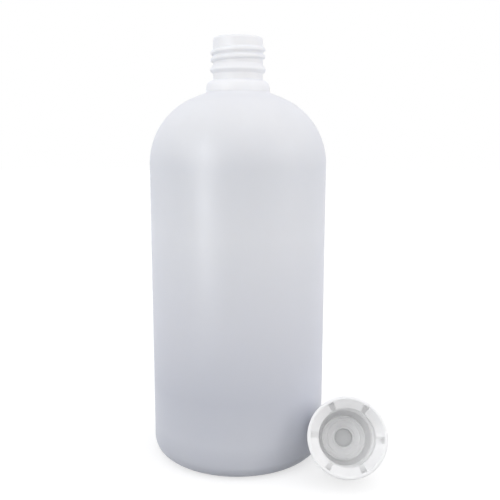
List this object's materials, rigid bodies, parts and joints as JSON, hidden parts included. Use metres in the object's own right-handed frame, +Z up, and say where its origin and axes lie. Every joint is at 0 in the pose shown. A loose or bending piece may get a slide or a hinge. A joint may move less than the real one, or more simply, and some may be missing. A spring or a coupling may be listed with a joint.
{
  "type": "alcohol bottle",
  "caption": "Open round plastic bottle with a domed shoulder, stepped collar and threaded neck; its tamper-band screw cap leans mouth outward against the wall.",
  "frame": {"origin": "centre of the ring that the bottle stands on, on the floor", "axes": "+Z up along the bottle's axis; -Y is the front, where the cap's mouth faces; +X is the side where the cap leans"},
  "size_m": [0.115, 0.1022, 0.2129],
  "materials": {
    "natural_plastic": "satin, milky and slightly translucent",
    "white_plastic": "satin white"
  },
  "bodies": {
    "root": {"bottle": "natural_plastic", "screw_cap": "white_plastic"}
  },
  "joints": []
}
